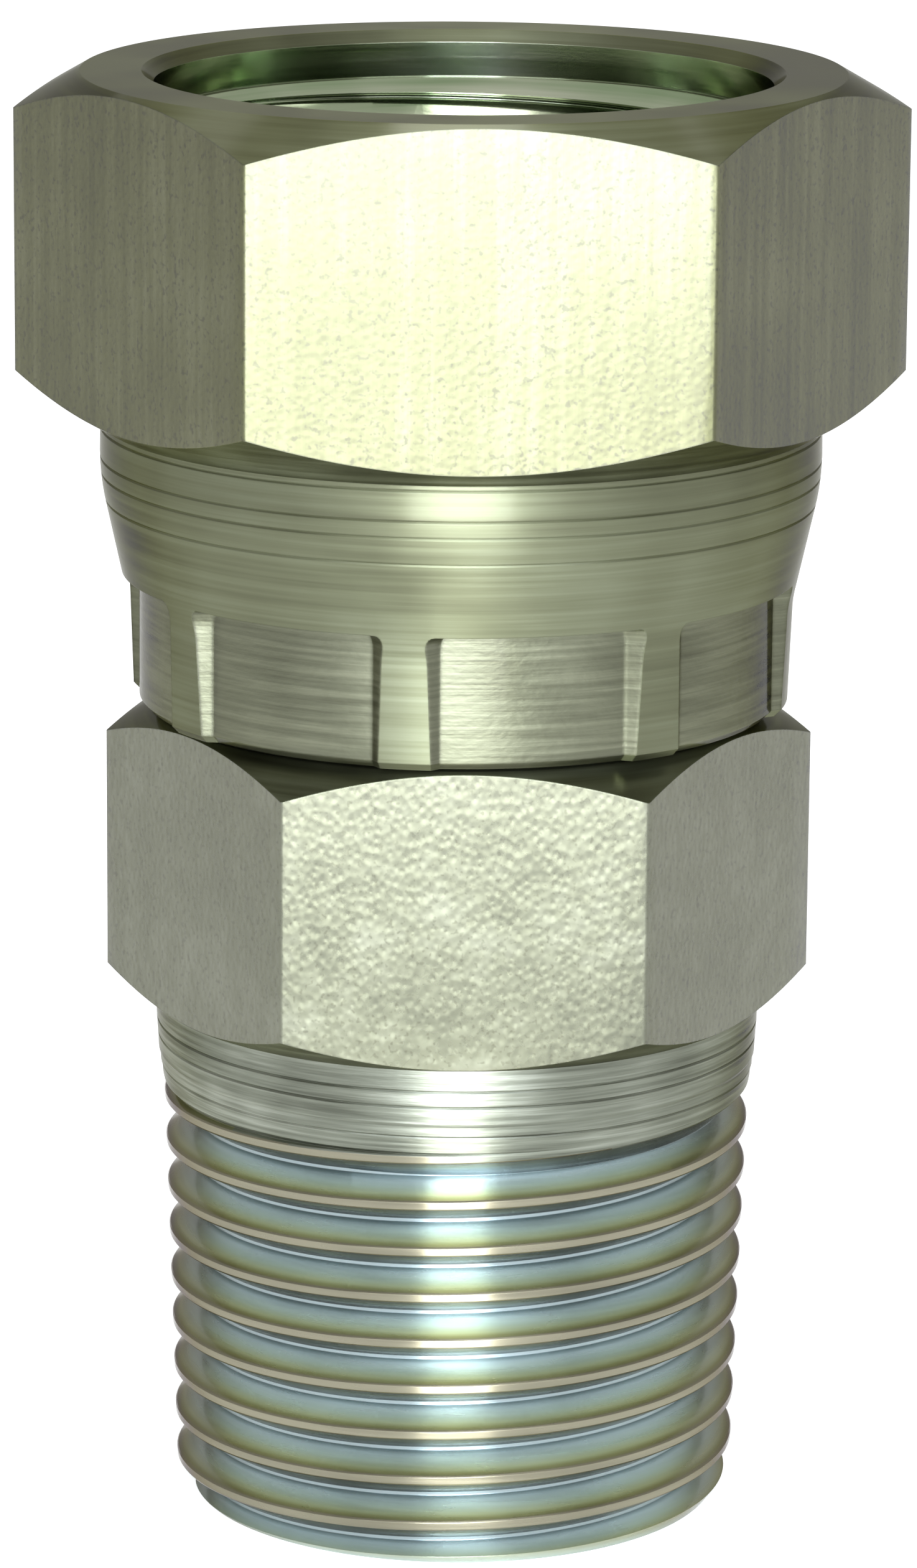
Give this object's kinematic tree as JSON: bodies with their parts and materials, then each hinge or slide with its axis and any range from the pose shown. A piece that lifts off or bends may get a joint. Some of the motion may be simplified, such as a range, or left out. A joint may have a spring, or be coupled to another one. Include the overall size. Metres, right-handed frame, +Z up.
{
  "type": "swivel adapter",
  "caption": "Straight hydraulic adapter with a male taper pipe thread, a hexagon body and a crimped female swivel nut that turns freely on a cone-nosed head.",
  "frame": {"origin": "centre of the male end face, which is the bottom of the part", "axes": "+Z up the common axis from the male end to the nut's mouth, -Y towards a flat of the body hexagon"},
  "size_m": [0.0262, 0.023, 0.043],
  "materials": {
    "body_steel": "zinc plated with a yellow-green passivation, satin",
    "nut_steel": "zinc plated with a yellow-green passivation, satin"
  },
  "bodies": {
    "body": {"body": "body_steel"},
    "nut": {"swivel_nut": "nut_steel"}
  },
  "joints": [
    {"name": "nut_swivel", "type": "hinge", "parent": "body", "child": "nut", "pos_m": [0, 0, 0.03], "axis": [0, 0, 1], "continuous": true}
  ]
}
